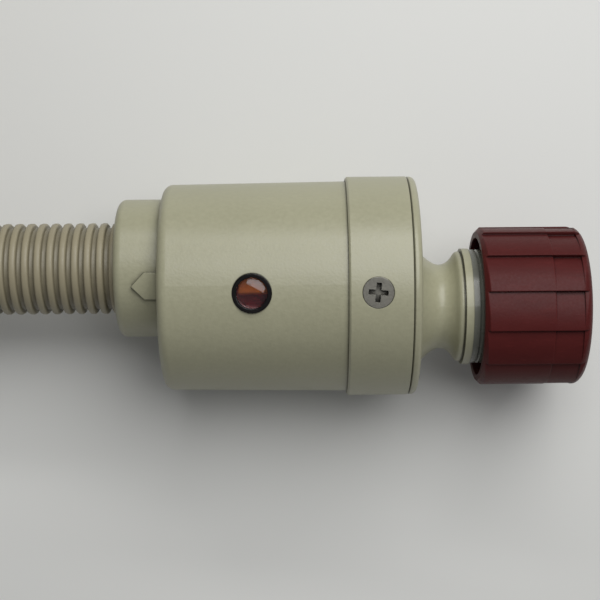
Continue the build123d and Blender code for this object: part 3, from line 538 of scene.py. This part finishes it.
def turn_radius(step):
    """The outer turn closes in on the inner one between steps 7 and 11."""
    share = min(max((step - 7) / 4, 0), 1)
    return OUTER_TURN + (INNER_TURN - OUTER_TURN) * share


def hose_route():
    """The hose's control points: out of the collar, down to the table, two turns, and up onto the coil."""
    points = [HOSE_START]
    points += [Vector(point) * MM for point in LEAD_POINTS]
    points.append(coil_point(0, turn_radius(0), FLOOR_HEIGHT + 1.2))
    points += [coil_point(step, turn_radius(step), FLOOR_HEIGHT) for step in range(1, COIL_STEPS + 1)]
    for step, (height, swing) in enumerate(zip(TAIL_HEIGHTS, TAIL_SWINGS), COIL_STEPS + 1):
        points.append(coil_point(step, INNER_TURN + swing, height))
    return points


def smooth_line(points, resolution=24):
    """The points that a smooth spline with those control points passes through."""
    curve = bpy.data.curves.new("hose_route", "CURVE")
    curve.dimensions = "3D"
    curve.resolution_u = resolution
    spline = curve.splines.new("NURBS")
    spline.points.add(len(points) - 1)
    for place, point in zip(spline.points, points):
        place.co = (*point, 1.0)
    spline.order_u = 3
    spline.use_endpoint_u = True
    holder = bpy.data.objects.new("hose_route", curve)
    bpy.context.scene.collection.objects.link(holder)
    bpy.context.view_layer.update()
    mesh = bpy.data.meshes.new_from_object(holder)
    line = [vertex.co.copy() for vertex in mesh.vertices]
    bpy.data.objects.remove(holder)
    bpy.data.curves.remove(curve)
    bpy.data.meshes.remove(mesh)
    return line


def measured(line):
    """How far along the line each of its points is."""
    lengths = [0.0]
    for before, after in zip(line, line[1:]):
        lengths.append(lengths[-1] + (after - before).length)
    return lengths


def stations_along(line, distances):
    """The place and the heading at each of those rising distances along the line."""
    lengths = measured(line)
    index = 0
    found = []
    for distance in distances:
        while index < len(lengths) - 2 and lengths[index + 1] < distance:
            index += 1
        span = lengths[index + 1] - lengths[index]
        share = (distance - lengths[index]) / span
        heading = line[index + 1] - line[index]
        ahead = line[min(index + 2, len(line) - 1)] - line[min(index + 1, len(line) - 2)]
        turned = heading.normalized().lerp(ahead.normalized(), share / 2)
        found.append((line[index].lerp(line[index + 1], share), turned.normalized()))
    return found


def even_steps(length, count):
    """Distances from 0 to the length, that many equal steps."""
    return [step * length / count for step in range(count + 1)]


def ribs_along(length, pitch):
    """Distances along the hose, and how far from valley to crest its surface is at each."""
    distances = []
    heights = []
    for rib in range(int(length / pitch)):
        for share, height in NEAR_RIB if rib < NEAR_RIBS else FAR_RIB:
            distances.append((rib + share) * pitch)
            heights.append(height)
    distances[0] = 0.0
    distances.append(length)
    heights.append(0.0)
    return distances, heights


def swept_tube(name, stations, radii, sides, material):
    """A closed tube with one ring of that radius at each station, and a cap at each end."""
    side = Vector((0.0, 1.0, 0.0))
    vertices = []
    for (place, heading), radius in zip(stations, radii):
        side = (side - heading * side.dot(heading)).normalized()
        above = heading.cross(side)
        for turn in range(sides):
            angle = 2 * math.pi * turn / sides
            vertices.append(place + (side * math.cos(angle) + above * math.sin(angle)) * radius)
    faces = []
    for ring in range(len(radii) - 1):
        for turn in range(sides):
            following = (turn + 1) % sides
            low = ring * sides
            high = low + sides
            faces.append((low + turn, low + following, high + following, high + turn))
    faces.append(tuple(reversed(range(sides))))
    faces.append(tuple(range((len(radii) - 1) * sides, len(radii) * sides)))
    return new_mesh_object(name, vertices, faces, material)


# ---------------------------------------------------------------- studio
# Each lamp's name, place, size and share of the key's power: a broad key, and a strip for the sheen.
LAMPS = (
    ("key", (0.14, 0.25, 0.56), (0.50, 0.50), 1.0),
    ("strip", (0.08, 0.52, 0.44), (0.60, 0.06), 0.3),
)
SKY_COLOUR = (0.93, 0.95, 1.0, 1.0)
TABLE_SIZE = 8.0
SENSOR_WIDTH = 36.0


# ---------------------------------------------------------------- operators
class WATERSTOP_OT_studio(bpy.types.Operator):
    """Add the camera, the soft light and the table"""

    bl_idname = "waterstop.studio"
    bl_label = "Studio"

    def execute(self, context):
        settings = context.scene.waterstop.studio
        axis_height = sum(corner.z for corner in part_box("main_barrel")) / 2

        camera_data = bpy.data.cameras.new("camera")
        camera_data.sensor_width = SENSOR_WIDTH
        camera_data.lens = camera_data.sensor_width * settings.view_height / settings.view_width
        camera_data.clip_start = 0.01
        camera = bpy.data.objects.new("camera", camera_data)
        camera.location = (settings.view_x, settings.view_y, axis_height + settings.view_height)
        camera.rotation_euler = (0.0, 0.0, settings.view_turn)
        context.scene.collection.objects.link(camera)
        context.scene.camera = camera

        for name, place, size, share in LAMPS:
            lamp_data = bpy.data.lights.new(name, "AREA")
            lamp_data.shape = "RECTANGLE"
            lamp_data.size, lamp_data.size_y = size
            lamp_data.energy = settings.key_power * share
            lamp = bpy.data.objects.new(name, lamp_data)
            lamp.location = place
            lamp.rotation_euler = (-Vector(place)).to_track_quat("-Z", "Y").to_euler()
            context.scene.collection.objects.link(lamp)

        world = bpy.data.worlds.new("sky")
        world.use_nodes = True
        background = world.node_tree.nodes["Background"]
        background.inputs["Color"].default_value = SKY_COLOUR
        background.inputs["Strength"].default_value = settings.sky_strength
        context.scene.world = world
        context.scene.view_settings.view_transform = "Standard"

        deselect_all()
        bpy.ops.mesh.primitive_plane_add(size=TABLE_SIZE, location=(0.0, 0.0, 0.0))
        table = context.object
        table.name = "table"
        table.data.materials.append(laminate_table(settings.table))
        return {"FINISHED"}


class WATERSTOP_OT_hose(bpy.types.Operator):
    """Add the corrugated hose and the pressure hose inside it, after the straps that hold its coil"""

    bl_idname = "waterstop.hose"
    bl_label = "Hose"

    def execute(self, context):
        settings = context.scene.waterstop.hose
        line = smooth_line(hose_route())
        length = measured(line)[-1]

        jacket_material = extruded_polypropylene("extruded_polypropylene", settings.jacket)
        crest = settings.radius
        valley = settings.radius - settings.rib_depth
        distances, heights = ribs_along(length, settings.rib_pitch)
        stations = stations_along(line, distances)
        radii = [valley + (crest - valley) * height for height in heights]
        jacket = swept_tube("corrugated_hose", stations, radii, settings.sides, jacket_material)
        ribbed = jacket.data.attributes.new("rib_height", "FLOAT", "POINT")
        ribbed.data.foreach_set("value", [height for height in heights for _ in range(settings.sides)])
        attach(jacket, "housing")
        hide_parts("hose_jacket", "hose_coil", "hose_tail")

        inner_material = cured_rubber("cured_rubber_hose", settings.inner)
        inner_places = stations_along(line, even_steps(length, INNER_HOSE_STEPS)[1:-2])
        inner_line = [INNER_HOSE_START] + [place for place, _ in inner_places]
        inner_stations = stations_along(inner_line, even_steps(measured(inner_line)[-1], INNER_HOSE_STEPS))
        inner_radii = [settings.inner_radius] * len(inner_stations)
        inner = swept_tube("pressure_hose", inner_stations, inner_radii, INNER_HOSE_SIDES, inner_material)
        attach(inner, "housing")
        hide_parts("inner_hose")

        return {"FINISHED"}


class WATERSTOP_OT_straps(bpy.types.Operator):
    """Add the two hook-and-loop straps round the coil"""

    bl_idname = "waterstop.straps"
    bl_label = "Coil straps"

    def execute(self, context):
        hose = context.scene.waterstop.hose
        material = looped_nylon("looped_nylon", hose.strap)
        turn_gap = (OUTER_TURN - INNER_TURN) * MM
        bands = []
        for angle in STRAP_ANGLES:
            band = self.loop_round_turns(context, hose.radius, turn_gap)
            lap = self.second_layer(context, band, hose.radius, turn_gap)
            for layer in (band, lap):
                self.thicken(context, layer)
                self.lay_on_coil(layer, math.radians(angle))
                layer.data.materials.append(material)
                bpy.ops.object.shade_smooth_by_angle(angle=math.radians(35))
            bands.append((band, lap))
        for number, (band, lap) in enumerate(bands, 1):
            deselect_all()
            band.select_set(True)
            lap.select_set(True)
            context.view_layer.objects.active = band
            bpy.ops.object.join()
            band.name = f"coil_strap_{number}"
            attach(band, "housing")
        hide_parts("coil_ties")
        return {"FINISHED"}

    @staticmethod
    def loop_round_turns(context, radius, turn_gap):
        """A thin loop round both turns of the hose, which lie side by side along X."""
        deselect_all()
        bpy.ops.mesh.primitive_circle_add(
            vertices=STRAP_SIDES, radius=radius, fill_type="NOTHING", rotation=(math.pi / 2, 0.0, 0.0)
        )
        band = context.object
        bpy.ops.object.transform_apply(location=False, rotation=True, scale=False)
        past_middle = 0.25 * math.pi * radius / STRAP_SIDES
        for vertex in band.data.vertices:
            if vertex.co.x > past_middle:
                vertex.co.x += turn_gap
            vertex.co.y -= STRAP_WIDTH / 2
        bpy.ops.object.mode_set(mode="EDIT")
        bpy.ops.mesh.select_all(action="SELECT")
        bpy.ops.mesh.extrude_region_move(TRANSFORM_OT_translate={"value": (0.0, STRAP_WIDTH, 0.0)})
        bpy.ops.mesh.select_all(action="SELECT")
        bpy.ops.mesh.normals_make_consistent(inside=False)
        bpy.ops.object.mode_set(mode="OBJECT")
        return band

    @staticmethod
    def second_layer(context, band, radius, turn_gap):
        """A copy of the band's top and outer side, one thickness higher: where the strap laps over itself."""
        lap = band.copy()
        lap.data = band.data.copy()
        context.scene.collection.objects.link(lap)
        mesh = bmesh.new()
        mesh.from_mesh(lap.data)
        away = []
        for face in mesh.faces:
            place = face.calc_center_median()
            on_top = place.z > 0.0 and place.x > turn_gap * 0.2
            on_outer_side = place.x > turn_gap + radius * 0.8
            if not on_top and not on_outer_side:
                away.append(face)
        bmesh.ops.delete(mesh, geom=away, context="FACES")
        for vertex in mesh.verts:
            vertex.co.z += STRAP_THICKNESS
        mesh.to_mesh(lap.data)
        mesh.free()
        return lap

    @staticmethod
    def thicken(context, layer):
        """Gives a layer its thickness and its soft edges."""
        deselect_all()
        layer.select_set(True)
        context.view_layer.objects.active = layer
        wall = layer.modifiers.new("wall", "SOLIDIFY")
        wall.thickness = STRAP_WALL
        wall.offset = 1.0
        soft = layer.modifiers.new("soft", "BEVEL")
        soft.width = STRAP_EDGE
        soft.segments = 2
        bpy.ops.object.modifier_apply(modifier="wall")
        bpy.ops.object.modifier_apply(modifier="soft")

    @staticmethod
    def lay_on_coil(layer, angle):
        """Moves a layer's mesh to its place on the coil."""
        outwards = Vector((math.cos(angle), math.sin(angle), 0.0))
        place = COIL_CENTRE + outwards * INNER_TURN * MM + Vector((0.0, 0.0, FLOOR_HEIGHT * MM))
        layer.data.transform(Matrix.Translation(place) @ Matrix.Rotation(angle, 4, "Z"))


class WATERSTOP_OT_housing(bpy.types.Operator):
    """Finish the housing, its window and its screws"""

    bl_idname = "waterstop.housing"
    bl_label = "Housing"

    def execute(self, context):
        settings = context.scene.waterstop.housing
        housing = moulded_abs("moulded_abs", settings.housing)
        for name in ("hose_collar", "main_barrel", "screw_ring", "end_cover"):
            paint(name, housing)
        paint("window_bezel", moulded_abs("moulded_abs_bezel", settings.bezel, gloss=0.12))
        paint("indicator_lens", clear_acrylic("clear_acrylic"))
        low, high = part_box("indicator_lens")
        flag = flag_with_painted_light(
            "flag_with_painted_light", settings.flag_amber_painted_light, settings.flag_red, (low.y + high.y) / 2, low.x + 0.6 * MM
        )
        paint("indicator_flag", flag)
        paint("ring_screws", worked_metal("zinc_plated_steel", settings.screw, 0.38, 0.35, 0.03))
        return {"FINISHED"}


class WATERSTOP_OT_union(bpy.types.Operator):
    """Finish the tap union and what it carries"""

    bl_idname = "waterstop.union"
    bl_label = "Tap union"

    def execute(self, context):
        settings = context.scene.waterstop.union
        paint("union_nut", filled_nylon("filled_nylon", settings.nut))
        paint("thrust_ring", moulded_acetal("moulded_acetal_grey", settings.thrust_ring))
        paint("slip_ring", moulded_acetal("moulded_acetal_white", linear("d8d8d2")))
        paint("inlet_tailpiece", moulded_abs("moulded_abs_tailpiece", linear("a19f85")))
        paint("inlet_washer", cured_rubber("cured_rubber_washer", linear("26272a")))
        paint("inlet_filter", moulded_acetal("moulded_filter", linear("4f86a6"), roughness=0.3))
        return {"FINISHED"}


class WATERSTOP_OT_mechanism(bpy.types.Operator):
    """Finish the shut-off mechanism inside the housing"""

    bl_idname = "waterstop.mechanism"
    bl_label = "Mechanism"

    def execute(self, context):
        white = moulded_acetal("moulded_acetal_duct", linear("e4e2da"), roughness=0.28)
        for name in (
            "valve_body", "magnet_carrier", "shutter", "spring_retainer", "outlet_spigot", "backing_ring",
        ):
            paint(name, white)
        rubber = cured_rubber("cured_rubber_seal", linear("1f2022"))
        for name in ("body_seal", "shutter_seal"):
            paint(name, rubber)
        paint("valve_seat", worked_metal("turned_brass", linear("c9a55b"), 0.25, 0.25, 0.02))
        steel = worked_metal("drawn_steel", linear("b9bab8"), 0.24, 0.3, 0.01)
        for name in ("closing_spring", "shutter_core"):
            paint(name, steel)
        paint("ring_magnet", sintered_ferrite("sintered_ferrite", linear("3a3b3d")))
        paint("swelling_ring", pressed_cellulose("pressed_cellulose", linear("c8ae7c")))
        paint("crimp_ferrule", worked_metal("pressed_aluminium", linear("c4c6c8"), 0.3, 0.5, 0.02))
        return {"FINISHED"}


class WATERSTOP_OT_machine_end(bpy.types.Operator):
    """Finish the fitting at the machine end of the hose"""

    bl_idname = "waterstop.machine_end"
    bl_label = "Machine end"

    def execute(self, context):
        housing = context.scene.waterstop.housing
        union = context.scene.waterstop.union
        paint("machine_ferrule", moulded_abs("moulded_abs_ferrule", housing.housing))
        paint("machine_tail", moulded_acetal("moulded_acetal_tail", linear("d8d8d2")))
        paint("machine_washer", cured_rubber("cured_rubber_machine", linear("26272a")))
        paint("machine_nut", filled_nylon("filled_nylon_machine", union.nut))
        return {"FINISHED"}


class WATERSTOP_PT_panel(bpy.types.Panel):
    """The valve's pieces and settings"""

    bl_label = "Water-stop valve"
    bl_idname = "WATERSTOP_PT_panel"
    bl_space_type = "VIEW_3D"
    bl_region_type = "UI"
    bl_category = "Water-stop"

    def draw(self, context):
        settings = context.scene.waterstop
        for step in STEPS:
            self.layout.operator(step.bl_idname)
        for name in ("hose", "housing", "union", "studio"):
            group = getattr(settings, name)
            box = self.layout.box()
            box.label(text=name.capitalize())
            for setting in group.__annotations__:
                box.prop(group, setting)


STEPS = (
    WATERSTOP_OT_studio,
    WATERSTOP_OT_straps,
    WATERSTOP_OT_hose,
    WATERSTOP_OT_housing,
    WATERSTOP_OT_union,
    WATERSTOP_OT_mechanism,
    WATERSTOP_OT_machine_end,
)
CLASSES = (
    HoseSettings, HousingSettings, UnionSettings, StudioSettings, ValveSettings, *STEPS, WATERSTOP_PT_panel,
)


def register():
    for kind in CLASSES:
        bpy.utils.register_class(kind)
    bpy.types.Scene.waterstop = PointerProperty(type=ValveSettings)


def unregister():
    del bpy.types.Scene.waterstop
    for kind in reversed(CLASSES):
        bpy.utils.unregister_class(kind)


def main():
    register()
    bpy.ops.waterstop.studio()
    bpy.ops.waterstop.straps()
    bpy.ops.waterstop.hose()
    bpy.ops.waterstop.housing()
    bpy.ops.waterstop.union()
    bpy.ops.waterstop.mechanism()
    bpy.ops.waterstop.machine_end()


if __name__ == "__main__":
    main()
